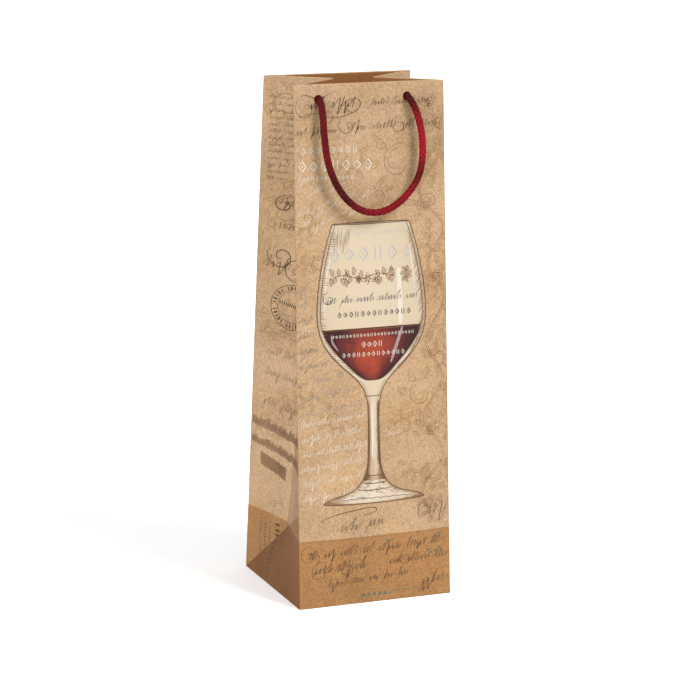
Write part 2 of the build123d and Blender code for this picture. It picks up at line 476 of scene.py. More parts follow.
wall_face = {face: wall_surface(face) for face in walls.values()}
gusset_face = {side: gusset_surface(side) for side in sides.values()}


def steps(count):
    """Shares from 0 to 1 in even steps, with one narrow step against the fold at each end."""
    narrow = 0.35 / count
    return np.r_[0, narrow, np.arange(1, count) / count, 1 - narrow, 1]


across_wall, across_gusset, up_sheet = steps(44), steps(20), steps(130)
sheet_top = mouth_height - lip
# the foot and the front halves of the gussets take materials with painted shade
OUTSIDE, BARE, FOOT_SHADE, SHADE = range(4)  # places of the sheet's materials


def weave(bm, rows, paints):
    """Bands of faces between rows of vertices, each band in its own paint."""
    for low, high, paint in zip(rows, rows[1:], paints):
        for j in range(len(low) - 1):
            bm.faces.new((low[j], low[j + 1], high[j + 1], high[j])).material_index = paint


def grid(bm, points, fold, paint=OUTSIDE):
    """A grid of faces. Its sides lie on folds, and so do its first and last rows where fold says so."""
    rows = [[bm.verts.new(point) for point in row] for row in points]
    ends = [row for row, on_fold in zip((rows[0], rows[-1]), fold) if on_fold]
    for line in (*ends, [row[0] for row in rows], [row[-1] for row in rows]):
        for vertex in line:
            vertex[fold_layer] = 1.0
    weave(bm, rows, [paint] * len(rows))


def patch(surface, low_start, low_end, high_end, high_start, across, up):
    """A grid on a surface between four corners, each (q, height)."""
    s, t = np.meshgrid(across, up)
    corners = [np.array(c) for c in (low_start, low_end, high_end, high_start)]
    weights = [(1 - s) * (1 - t), s * (1 - t), s * t, (1 - s) * t]
    place = sum(w[..., None] * c for w, c in zip(weights, corners))
    return surface(place[..., 0], place[..., 1])


bm = bmesh.new()
fold_layer = bm.verts.layers.float.new("fold")
front_rows = np.r_[foot_height * across_gusset, foot_height + (sheet_top - foot_height) * up_sheet[1:]]
for face, rows in ((-1, front_rows), (1, sheet_top * up_sheet)):
    share, height = np.meshgrid(across_wall * 2 - 1, rows)
    grid(bm, wall_face[face](share * half_width(height), height / math.cos(lean)), (False, False))
for surface in gusset_face.values():
    apex, top = (0, apex_height), sheet_top
    foot = patch(surface, (-1, 0), (1, 0), apex, (-1, foot_height), across_gusset, across_gusset)
    front_half = patch(surface, (-1, foot_height), apex, (0, top), (-1, top), across_gusset, up_sheet)
    back_half = patch(surface, (1, 0), apex, (0, top), (1, top), across_gusset, up_sheet)
    grid(bm, foot, (False, True), FOOT_SHADE)
    grid(bm, front_half, (True, False), SHADE)
    grid(bm, back_half, (True, False))


def meet(start, start_way, end, end_way):
    """Where two lines in plan cross."""
    return start + start_way * np.linalg.solve(np.array([start_way, -end_way]).T, end - start)[0]


def mouth_outline(height, turned):
    """The mouth in plan at a height, from the outer faces, 0, to the hem's bare faces, 1."""
    wide, deep = half_width(height), fold_depth(height)
    inset = float(gusset_inset(0.0, height))
    corners = [np.array(c) for c in ((-wide, -deep), (wide, -deep), (wide - inset, 0))]
    corners += [-c for c in corners]
    depths = [hem_depth, gusset_hem_depth, gusset_hem_depth] * 2
    ways = [unit(corners[(k + 1) % 6] - corners[k]) for k in range(6)]
    places = []
    for k in range(6):
        lines = []
        for j in (k - 1, k):
            inward = np.array([-ways[j][1], ways[j][0]])
            lines += [corners[k] + inward * depths[j], ways[j]]
        places.append(corners[k] + (meet(*lines) - corners[k]) * turned)
    ring = []
    for k, shares in enumerate([across_wall, across_gusset, across_gusset] * 2):
        ring.append(places[k] + (places[(k + 1) % 6] - places[k]) * shares[:-1, None])
    return np.concatenate(ring)


def join_rings(bm, levels, paints):
    """Bands of faces between closed rings of points."""
    rings = [[bm.verts.new(point) for point in level] for level in levels]
    weave(bm, [ring + ring[:1] for ring in rings], paints)


def at_height(outline, height):
    return np.c_[outline, np.full(len(outline), height)]


rim = [(0.0, 0.0), (0.12, 0.6), (0.32, 0.92), (0.5, 1.0), (0.68, 0.92), (0.88, 0.6), (1.0, 0.0)]
levels = [at_height(mouth_outline(sheet_top, turned), sheet_top + rise * lip) for turned, rise in rim]
for share in np.linspace(0, 1, 9)[1:]:
    height = sheet_top - share * (hem - lip)
    levels.append(at_height(mouth_outline(height, 1.0), height))
join_rings(bm, levels, [OUTSIDE] * (len(rim) - 1) + [BARE] * len(levels))

wall_run = across_wall[:-1] * 2 - 1
foot_run = across_gusset[:-1] * 2 - 1
base = [(x, -1.0) for x in wall_run] + [(1.0, y) for y in foot_run]
base = np.array(base + [(-x, -y) for x, y in base]) * (half_width(0), half_depth)
under = base * (1 - turn_under / half_width(0), 1 - turn_under / half_depth)
join_rings(bm, [at_height(base, 0.0), at_height(under, 0.00002)], [OUTSIDE])
bmesh.ops.remove_doubles(bm, verts=bm.verts, dist=0.00002)
bmesh.ops.recalc_face_normals(bm, faces=bm.faces)
if sum(f.normal.y for f in bm.faces if f.calc_center_median().y < -mouth_half_depth) > 0:
    bmesh.ops.reverse_faces(bm, faces=bm.faces)


def built(bm, name):
    """The finished mesh as an object in the scene."""
    mesh = bpy.data.meshes.new(name)
    bm.to_mesh(mesh)
    bm.free()
    return added(name, mesh)


shell = built(bm, "kraft_shell")

# Punch for the four handle holes, 6 mm, through wall and hem alike
hole_radius = 0.003
hole_xs = (FRONT_LOOP[0][0], FRONT_LOOP[-1][0])
bm = bmesh.new()
for face in walls.values():
    for x in hole_xs:
        centre = wall_face[face](np.array(x), np.array(hole_height))
        axis = Vector((0, face * math.cos(lean), math.sin(lean)))
        place = Matrix.Translation(Vector(centre)) @ axis.to_track_quat("Z", "Y").to_matrix().to_4x4()
        round_bar = {"radius1": hole_radius, "radius2": hole_radius, "depth": 0.008, "cap_ends": True}
        bmesh.ops.create_cone(bm, segments=32, matrix=place, **round_bar)
punch = built(bm, "punch")


def thicken(piece, offset):
    """Gives a piece of paper its thickness, to one side of its faces."""
    made = piece.modifiers.new("paper", "SOLIDIFY")
    made.thickness = paper
    made.offset = offset
    return made


def settle(piece):
    """Applies a piece's modifiers."""
    made = bpy.data.meshes.new_from_object(piece.evaluated_get(bpy.context.evaluated_depsgraph_get()))
    piece.modifiers.clear()
    piece.data = made


solid = thicken(shell, -1)
solid.use_even_offset = True
solid.material_offset = BARE
solid.material_offset_rim = BARE
holes = shell.modifiers.new("holes", "BOOLEAN")
holes.operation = "DIFFERENCE"
holes.solver = "EXACT"
holes.object = punch


def kraft_group():
    """Kraft paper: matted fibres lying every way, darker flecks and broad cloudy patches."""
    tree = bpy.data.node_groups.new("KraftFibre", "ShaderNodeTree")
    for name, kind in (("Light", "Color"), ("Dark", "Color"), ("Contrast", "Float")):
        tree.interface.new_socket(name, in_out="INPUT", socket_type="NodeSocket" + kind)
    for name, kind in (("Colour", "Color"), ("Height", "Float"), ("Roughness", "Float")):
        tree.interface.new_socket(name, in_out="OUTPUT", socket_type="NodeSocket" + kind)
    given = tree.nodes.new("NodeGroupInput").outputs
    place = object_place(tree)
    strands = []
    for turn, stretch in ((0.4, (2600, 2600, 300)), (1.3, (500, 1500, 2400)), (2.3, (2400, 700, 900))):
        lie = node(tree, "Mapping", Vector=place, Rotation=(turn, turn * 0.7, -turn), Scale=stretch)
        strands.append(noise(lie.outputs["Vector"], 1.0, 2.0, 0.6))
    fibres = times(plus(plus(strands[0], strands[1]), strands[2]), 1 / 3)
    clouds, grain = noise(place, 22.0, 4.0, 0.6), noise(place, 750.0, 3.0, 0.7)
    tone = plus(plus(times(fibres, 1.1), times(grain, 0.9)), times(clouds, 0.5))
    tone = times(minus(tone, 1.25), given["Contrast"])
    tone = plus(times(tone, 1.5), 0.5, clamp=True)
    colour = mixed(tone, given["Dark"], given["Light"])
    flecks = node(tree, "TexVoronoi", Vector=place, Scale=420.0)
    speck = calc("LESS_THAN", flecks.outputs["Distance"], 0.09)
    colour = mixed(times(speck, 0.35), colour, linear(86, 55, 31))
    rough = plus(times(fibres, 0.25), 0.68)
    feed(tree.nodes.new("NodeGroupOutput"), Colour=colour, Height=fibres, Roughness=rough)
    return tree


kraft_fibre = kraft_group()


def kraft(name, light, dark, contrast=1.0, depth=0.00006):
    """A material of kraft paper in two tones, with its shader and the socket of its colour."""
    material, tree, shader = new_material(name, roughness=0.8, specular=0.25)
    fibres = tree.nodes.new("ShaderNodeGroup")
    fibres.node_tree = kraft_fibre
    feed(fibres, Light=linear(*light), Dark=linear(*dark), Contrast=contrast)
    colour = fibres.outputs["Colour"]
    feed(shader, Base_Color=colour, Roughness=fibres.outputs["Roughness"])
    bump(shader, fibres.outputs["Height"], 0.5, depth)
    return material, shader, colour


# The outside is printed with a warm tint, darker in a band round the base, and a painted shade darkens
# it along the folds. The foot and the front half of each gusset take darker colours as painted shade.
# The card is bare; the inside is bare kraft, darkened as painted shade.
band_height = 0.046


def printed_kraft(name, light, dark):
    """Kraft under a warm tint, with the darker band, broad warm patches and painted shade along the folds.
    """
    material, shader, colour = kraft(name, light, dark, contrast=1.7)
    place = object_place(shader.id_data)
    height = node(shader.id_data, "SeparateXYZ", Vector=place).outputs["Z"]
    band = calc("LESS_THAN", height, band_height * math.cos(lean))
    warm = times(minus(noise(place, 26.0, 1.5), 0.45), 4.0, clamp=True)
    colour = mixed(band, colour, (0.74, 0.57, 0.36, 1), "MULTIPLY")
    colour = mixed(warm, colour, (1.0, 0.95, 0.86, 1), "MULTIPLY")
    # painted shade: a darker brown along the folds
    fold_shade = calc("POWER", attribute(shader.id_data, "fold"), 1.6)
    fold_shade = times(fold_shade, times(noise(place, 160.0, 4.0, 0.7), 0.9))
    feed(shader, Base_Color=mixed(fold_shade, colour, linear(86, 55, 33)))
    return material


printed = printed_kraft("kraft_printed", (150, 125, 96), (115, 90, 64))
# the foot in darker colours, as painted shade
painted_shade_foot = printed_kraft("kraft_painted_shade_foot", (109, 78, 45), (86, 60, 31))
# the front half of each gusset in darker colours, as painted shade
painted_shade_front_half = printed_kraft("kraft_painted_shade_front_half", (131, 105, 80), (99, 76, 53))
# bare kraft, made darker as painted shade for the inside of the bag and the hem's bare face
inside = kraft("kraft_inside", (128, 82, 40), (102, 64, 29), contrast=1.1)[0]
for material in (printed, inside, painted_shade_foot, painted_shade_front_half):
    shell.data.materials.append(material)
settle(shell)
for face in shell.data.polygons:
    if face.material_index > BARE and face.normal.x * face.center.x < 0:
        face.material_index = BARE  # the inner side of a gusset
bpy.data.objects.remove(punch)
shell.data.polygons.foreach_set("use_smooth", [True] * len(shell.data.polygons))
shell.data.set_sharp_from_angle(angle=math.radians(8))
low_rim = sheet_top + 0.00005
vertices = shell.data.vertices
for edge in shell.data.edges:
    if min(vertices[k].co.z for k in edge.vertices) > low_rim:
        edge.use_edge_sharp = False
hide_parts("front_panel", "back_panel", "front_hem", "back_hem")
for side_name in sides:
    gusset = f"{side_name}_gusset"
    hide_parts(f"{gusset}_foot", f"{gusset}_front_half", f"{gusset}_back_half")
    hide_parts(f"{gusset}_front_hem", f"{gusset}_back_hem")
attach(shell, "bag")


# Print: flexographic inks laid on the sheet before it is folded, so they follow every bow and
# crease. Each colour is its own film, in millimetres across and up the face that it is on.
film_lift = 0.00004  # the first colour lies this far over the paper
layer_gap = 0.00003  # and each later one this far over the one before


def lifted(surface, a, b, reach_a, reach_b, side, lift):
    """Points of a surface, moved out along its normal."""
    along = surface(a + reach_a, b) - surface(a - reach_a, b)
    upward = surface(a, b + reach_b) - surface(a, b - reach_b)
    return surface(a, b) + side * unit(np.cross(along, upward)) * lift


def wall_place(face):
    """Points on a wall by millimetres to the right and up, as seen from outside."""

    def at(across, climb, lift):
        return lifted(wall_face[face], -face * across / 1000, climb / 1000, 0.0004, 0.0004, -face, lift)

    return at


def gusset_place(side):
    """Points on a gusset by millimetres to the right of its crease and up, as seen from outside."""

    def at(across, climb, lift):
        height = climb / 1000
        q = side * across / 1000 / fold_depth(height)
        return lifted(gusset_face[side], q, height, 0.004, 0.0002, side, lift)

    return at


def flowing(points, spacing=1.1):
    """A smooth line through points."""
    points = np.array(points, float)
    points = np.vstack([2 * points[0] - points[1], points, 2 * points[-1] - points[-2]])
    line = []
    for a, b, c, d in zip(points, points[1:], points[2:], points[3:]):
        t = np.linspace(0, 1, max(2, int(np.linalg.norm(c - b) / spacing) + 1), endpoint=False)[:, None]
        bend = (2 * a - 5 * b + 4 * c - d) * t**2 + (3 * b - a - 3 * c + d) * t**3
        line.append(0.5 * (2 * b + (c - a) * t + bend))
    return np.concatenate([*line, points[-2:-1]])


def page(name, place, half, top, margin, seed):
    """A face to print on: its name, its points, how far a line may run to its folds, and its own chance."""

    def limit(v):
        return np.where((v > 0.8) & (v < top), 1000 * half(v / 1000) - margin, -1)

    return name, place, limit, random.Random(seed)


films = []


class Film:
    """One colour of ink on one face: lines and filled shapes, trimmed at the face's folds."""

    def __init__(self, page, label, layer, material):
        name, self.place, self.limit, self.rng = page
        self.name, self.material = f"{name}_{label}_print", material
        self.lift = film_lift + layer * layer_gap
        self.points, self.faces, self.across, self.up = [], [], [], []
        films.append(self)

    def grid(self, u, v, across, up):
        self.faces += quads(len(self.points) + np.arange(u.size).reshape(u.shape))
        self.points += self.place(u.ravel(), v.ravel(), self.lift).tolist()
        self.across += across.ravel().tolist()
        self.up += up.ravel().tolist()

    def line(self, path, width, taper=0.35, nib=0.0):
        """A line, thinner at its ends and, from a broad nib, where it runs up to the right."""
        path = np.array(path, float)
        within = np.abs(path[:, 0]) < self.limit(path[:, 1])
        if not within.all():
            kept = np.flatnonzero(within)
            for run in np.split(kept, np.flatnonzero(np.diff(kept) > 1) + 1):
                if len(run) > 2:
                    self.line(path[run], width, taper, nib)
            return
        way = unit(np.gradient(path, axis=0) + 1e-9)
        beside = np.stack([-way[:, 1], way[:, 0]], axis=1)
        share = np.linspace(0, 1, len(path))
        half = (width / 2 * (taper + (1 - taper) * np.sin(math.pi * share) ** 0.6))[:, None]
        half = half * (1 - nib * np.abs(way @ np.array([0.82, 0.57])) ** 2)[:, None]
        edges = np.stack([path + beside * half, path - beside * half], axis=1)
        across = np.tile([-1.0, 1.0], (len(path), 1))
        self.grid(edges[..., 0], edges[..., 1], across, np.repeat(share[:, None], 2, axis=1))

    def tick(self, start, end, width, taper=0.35):
        """A short straight line."""
        self.line(np.linspace(start, end, 3), width, taper)

    def stroke(self, points, width, taper=0.35, nib=0.0, spacing=1.1):
        self.line(flowing(points, spacing), width, taper, nib)

    def fill(self, low, high, half, columns, spacing):
        """A shape about the glass's middle line, with its half width given as a function of the height."""
        v = np.linspace(low, high, max(3, int((high - low) / spacing) + 1))[:, None]
        across = np.linspace(-1, 1, columns + 1) + 0 * v
        v = v + 0 * across
        self.grid(glass_middle + half(v) * across, v, across, (v - low) / (high - low))

    def finish(self):
        mesh = bpy.data.meshes.new(self.name)
        mesh.from_pydata(self.points, [], self.faces)
        for label, values in (("across", self.across), ("up", self.up)):
            layer = mesh.attributes.new(label, "FLOAT", "POINT")
            layer.data.foreach_set("value", np.array(values, np.float32))
        mesh.materials.append(self.material)
        made = added(self.name, mesh)
        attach(made, "bag")


def ink(name, colour, wear=0.35):
    """A printing ink that has sunk unevenly into the paper, so that the kraft shows through."""
    material, tree, shader = new_material("ink_" + name, roughness=0.7, specular=0.15)
    place = object_place(tree)
    speckle = noise(place, 1400.0, 3.0, 0.7)
    thin = times(minus(times(speckle, noise(place, 90.0, 2.0)), 0.12), 3.2 * wear, clamp=True)
    feed(shader, Base_Color=mixed(thin, linear(*colour), linear(134, 108, 81)))
    bump(shader, speckle, 0.3, 0.00003)
    return material


def scribble(film, u, v, length, size, width, rise=0.0, tall=0.2):
    """A line of penmanship with nothing to read in it: uneven slanted waves in short runs."""
    start, rng = u, film.rng
    while u < start + length - 2 * size:
        run = min(rng.uniform(2.5, 6.5) * size, start + length - u)
        points, here, high = [], u, False
        while here < u + run:
            reach = size * rng.uniform(0.75, 1.1)
            if rng.random() < tall:
                reach *= rng.uniform(1.6, 2.3)
            drop = -size * rng.uniform(0.8, 1.5) if rng.random() < tall / 3 else 0.0
            along = (here - start) * rise
            points.append((here + 0.6 * reach, v + along + reach) if high else (here, v + along + drop))
            here += size * rng.uniform(0.28, 0.5)
            high = not high
        if len(points) > 2:
            film.stroke(points, width, 0.6, 0.75, size * 0.25)
        u += run + size * rng.uniform(0.5, 0.9)


def border(film, u, v, length, size, width):
    """A printer's border of open lozenges between pairs of short rules."""
    count = max(2, round(length / (size * 1.15)))
    for k in range(count):
        x = u + (k + 0.5) * length / count
        tall, half = size * 0.5, size * 0.36
        if k % 4 == 3:
            for rule in (x - 0.22 * size, x + 0.22 * size):
                film.tick((rule, v - tall), (rule, v + tall), width, 0.9)
            continue
        tall *= (1.0, 0.8, 1.0)[k % 4]
        ends = [(x, v - tall), (x + half, v), (x, v + tall), (x - half, v), (x, v - tall)]
        for start, end in zip(ends, ends[1:]):
            film.tick(start, end, width * (1.2 if end[1] > start[1] else 0.6), 0.9)
        film.tick((x, v - tall * 0.3), (x, v + tall * 0.3), width, 0.2)


def scroll(film, u, v, radius, turns, start, way, width):
    """A curl that winds in from its outer end, with a bud at the middle."""
    t = np.linspace(0, 1, int(26 * turns) + 8)
    angle = start + way * turns * 2 * math.pi * t
    reach = radius * (1 - t) ** 0.85 + radius * 0.12
    film.line(np.stack([u + reach * np.cos(angle), v + reach * np.sin(angle)], axis=1), width, 0.25)


def acanthus(film, u, v, length, angle, width, curl=0.35):
    """The outline of one curling leaf with a notched edge."""
    t = np.linspace(0, 1, 26)
    bend = angle + curl * 2.2 * t
    step = length / 25
    spine = np.array([u, v]) + np.cumsum(np.stack([np.cos(bend), np.sin(bend)], axis=1) * step, axis=0)
    beside = np.stack([-np.sin(bend), np.cos(bend)], axis=1)
    for side in (-1, 1):
        body = length * 0.2 * np.sin(math.pi * t**0.8) * (1 + 0.3 * np.sin(5 * math.pi * t + side))
        film.line(spine + beside * (side * body)[:, None], width, 0.6)
    film.line(spine[:18], width * 0.7, 0.4)


def leaf(film, u, v, length, angle, width):
    """One pointed leaf, as a line that is thick in the middle."""
    way = np.array([math.cos(angle), math.sin(angle)])
    bend = np.array([-way[1], way[0]]) * length * 0.12
    start = np.array([u, v])
    film.stroke([start, start + way * length * 0.5 + bend, start + way * length], width, 0.05)


dark_ink = ink("sepia", (39, 25, 16), 0.25)
soft_ink = ink("umber", (82, 58, 40))
tan_ink = ink("tan", (102, 72, 43))
white_ink = ink("white", (168, 163, 153))
slate_ink = ink("slate", (99, 97, 102))
deep_slate_ink = ink("deep_slate", (56, 56, 63), 0.25)
pale_ink = ink("pale_slate", (132, 132, 132), 0.2)
teal_ink = ink("teal", (49, 72, 60))
line_ink = ink("line", (70, 46, 30), 0.25)
gloss_ink = ink("gloss", (161, 153, 141), 0.0)
sprig_ink = ink("sprig", (86, 56, 37), 0.25)
mauve_ink = ink("mauve", (113, 96, 106), 0.5)

# The drawn glass: half widths of its bowl, wine, stem and foot up the wall, about a middle line
glass_middle = -0.5
bowl_rim, wine_level, stem_top, stem_low = 257.5, 187.5, 138.0, 84.0
foot_half, foot_middle, foot_drop = 36.6, 70.4, 1.9
bowl_line = flowing(
    [(4.4, 138), (6.0, 144), (9.4, 150), (15, 156), (22, 162), (29.5, 170), (35.4, 179), (38.5, 190),
     (39.0, 200), (38.2, 211), (36.2, 225), (33.0, 240), (29.4, 252), (27.6, 257.5)]
)
wine_line = flowing(
    [(0, 151.8), (5.5, 152.6), (11, 156.2), (18, 163), (26.5, 172), (32.6, 180.5), (35.6, 187.5)]
)
stem_line = flowing(
    [(36.6, 70.4), (33, 72.4), (27, 74.2), (19, 76.2), (11.5, 80.5), (7, 87), (5, 94), (4.1, 104),
     (3.8, 128), (4.5, 139)]
)


def bowl_half(v):
    return np.interp(v, bowl_line[:, 1], bowl_line[:, 0])


def wine_half(v):
    return np.interp(v, wine_line[:, 1], wine_line[:, 0])


def stem_half(v):
    upper = np.interp(v, stem_line[:, 1], stem_line[:, 0])
    lower = foot_half * np.clip(1 - ((foot_middle - v) / foot_drop) ** 2, 0, 1) ** 0.35
    return np.where(v > foot_middle, upper, lower)


def drawn(name, stops, patch_scale, patch_share, hatch_share=0.25, low_dark=0.55, high_dark=0.0):
    """A chalky drawn wash that changes from the middle of a shape to its edges."""
    material, tree, shader = new_material("wash_" + name, roughness=0.7, specular=0.15)
    place = object_place(tree)
    cloud = noise(place, patch_scale, 4.0, 0.6)
    lie = node(tree, "Mapping", Vector=place, Rotation=(0, 0.6, 0), Scale=(1500, 200, 160))
    hatch = noise(lie.outputs["Vector"], 1.0, 2.0)
    edge = calc("POWER", calc("ABSOLUTE", attribute(tree, "across")), 1.6)
    share = plus(edge, times(minus(cloud, 0.5), patch_share))
    share = plus(share, times(minus(hatch, 0.5), hatch_share), clamp=True)
    rise = attribute(tree, "up")
    share = plus(share, times(calc("POWER", minus(1.0, rise), 5.0), low_dark), clamp=True)
    share = plus(share, times(calc("POWER", rise, 3.5), high_dark), clamp=True)
    feed(shader, Base_Color=ramp(share, stops))
    bump(shader, hatch, 0.3, 0.00003)
    return material


glass_stops = [(0.0, 154, 141, 121), (0.55, 151, 138, 116), (0.85, 148, 135, 115), (1.0, 137, 121, 99)]
foot_stops = [(0.0, 159, 148, 132), (0.6, 149, 135, 117), (0.9, 126, 105, 82), (1.0, 99, 75, 54)]
stem_stops = [(0.0, 156, 142, 125), (0.4, 143, 126, 105), (0.75, 113, 88, 65), (1.0, 76, 53, 34)]
wine_stops = [(0.0, 125, 52, 28), (0.28, 107, 40, 27), (0.58, 72, 27, 23), (1.0, 40, 16, 16)]
glass_wash = drawn("glass", glass_stops, 60, 0.4)
foot_wash = drawn("foot", foot_stops, 150, 0.7, 0.2)
stem_wash = drawn("stem", stem_stops, 150, 0.9, 0.8)
wine_wash = drawn("wine", wine_stops, 85, 1.0, 0.35, low_dark=0.3, high_dark=0.6)

# The wall's motifs. Scribbles: place, length, size, width, rise, share of tall letters. Scrolls:
# place, radius, turns, start, way, width. Strokes: points, width, taper, nib.
damask_scrolls = [
    (20, 296, 13, 1.7, 0.4, 1), (40, 320, 9, 1.4, 2.6, -1), (46, 296, 6.5, 1.3, 1.2, 1),
    (42, 268, 10, 1.6, 5.0, -1), (47, 240, 6.5, 1.3, 2.0, 1), (46, 218, 7, 1.4, 3.6, 1),
    (46, 190, 8, 1.6, 0.8, -1), (47, 164, 6.5, 1.3, 4.4, 1), (35, 140, 10, 1.7, 1.0, 1),
    (22, 118, 7, 1.4, 3.0, -1), (44, 114, 8.5, 1.6, 5.4, 1), (30, 92, 7, 1.4, 0.2, -1),
    (46, 84, 6.5, 1.3, 2.4, 1), (44, 60, 5.5, 1.2, 4.6, -1), (-14, 300, 8, 1.4, 0.9, -1),
    (4, 275, 7, 1.3, 4.0, 1), (-46, 262, 6.5, 1.3, 3.9, 1), (-47, 236, 6, 1.2, 0.3, -1),
    (-46, 146, 6.5, 1.3, 2.2, 1), (-28, 128, 7, 1.4, 5.6, -1),
]
stalk = [(38, 345), (50, 306), (34, 276), (52, 252), (40, 228), (52, 204), (38, 176), (50, 150),
         (36, 124), (50, 98), (34, 74), (44, 50)]
pen_lines = [
    (-44, 334, 32, 3.6, 1.25, 0.01, 0.4), (0, 335, 50, 2.5, 0.72, 0.015, 0.45),
    (-53, 317, 30, 2.7, 0.74, 0.03, 0.4), (-18, 319, 70, 3.0, 0.8, 0.02, 0.45),
    (-28, 50, 44, 4.2, 0.95, 0.1, 0.25), (36, 56, 18, 4.8, 0.85, 0.2, 0.6),
    (-50, 33.5, 50, 3.0, 0.85, 0.03, 0.35), (0, 35, 46, 3.0, 0.85, 0.03, 0.35),
    (-46, 23, 40, 3.6, 1.0, 0.03, 0.4), (8, 25, 44, 3.2, 0.8, 0.03, 0.4),
    (-36, 13, 60, 2.8, 0.75, 0.06, 0.4), (32, 8, 21, 4.2, 0.9, 0.1, 0.6),
]
pen_strokes = [
    ([(-51, 340), (-46, 343), (-38, 341), (-30, 342.5), (-24, 346)], 0.6, 0.35, 0.5),
    ([(-50, 329), (-38, 331), (-26, 327.5), (-12, 330.5), (-6, 336), (-10, 340), (-15, 337)], 0.38),
    ([(-40, 58), (-30, 62), (-14, 64.5), (-2, 65.5), (1, 63.5), (-3, 61.5), (-9, 60.5)], 0.75, 0.35, 0.4),
    ([(38, 68), (32.5, 64), (31.5, 58), (33.5, 54.5)], 0.6, 0.35, 0.4),
]
pen_scrolls = [
    (-45, 334, 7, 1.1, 2.2, 1, 0.36), (-13, 336, 6, 1.2, 0.6, -1, 0.36), (-30, 329, 5, 1.1, 3.6, 1, 0.36),
    (-16, 322, 6.5, 1.2, 1.4, 1, 0.4), (21, 321, 5.5, 1.2, 1.6, 1, 0.4), (50, 322, 4, 1.1, 5.2, -1, 0.4),
    (-48, 36, 6, 1.2, 1.2, 1, 0.34), (-40, 24, 6.5, 1.2, 1.0, 1, 0.34), (-20, 25, 6, 1.2, 1.3, 1, 0.34),
    (22, 28, 5, 1.2, 1.5, 1, 0.34),
]
shine_strokes = [
    ([(19, 226), (19.6, 212), (20, 198), (20, 188.5)], 3.4, 0.7),
    ([(26.5, 243), (29, 228), (30.8, 212)], 0.8, 0.2),
    ([(-27.5, 246), (-31.5, 228), (-34, 210), (-34, 194)], 0.9, 0.2),
    ([(-1.6, 134), (-1.4, 118), (-1.6, 100)], 1.4, 0.3),
    ([(-28, 71.8), (-12, 73.5), (4, 73)], 0.8, 0.2),
    ([(8, 73.5), (20, 72.8), (32, 71.4)], 0.6, 0.2),
]
glass_parts = [
    ("glass_bowl", 2, stem_top, bowl_rim, bowl_half, 26, 1.6, glass_wash),
    ("glass_stem", 2, stem_low, stem_top, stem_half, 16, 1.6, stem_wash),
    ("glass_foot", 2, foot_middle - foot_drop, stem_low, stem_half, 24, 0.4, foot_wash),
    ("wine", 3, wine_line[0, 1], wine_level, wine_half, 26, 0.7, wine_wash),
]


def about(across, v):
    """A path across and up from the glass's middle line."""
    return np.stack([glass_middle + across, v], axis=1)


def round_from(u, v, reach, angle):
    return u + reach * math.cos(angle), v + reach * math.sin(angle)


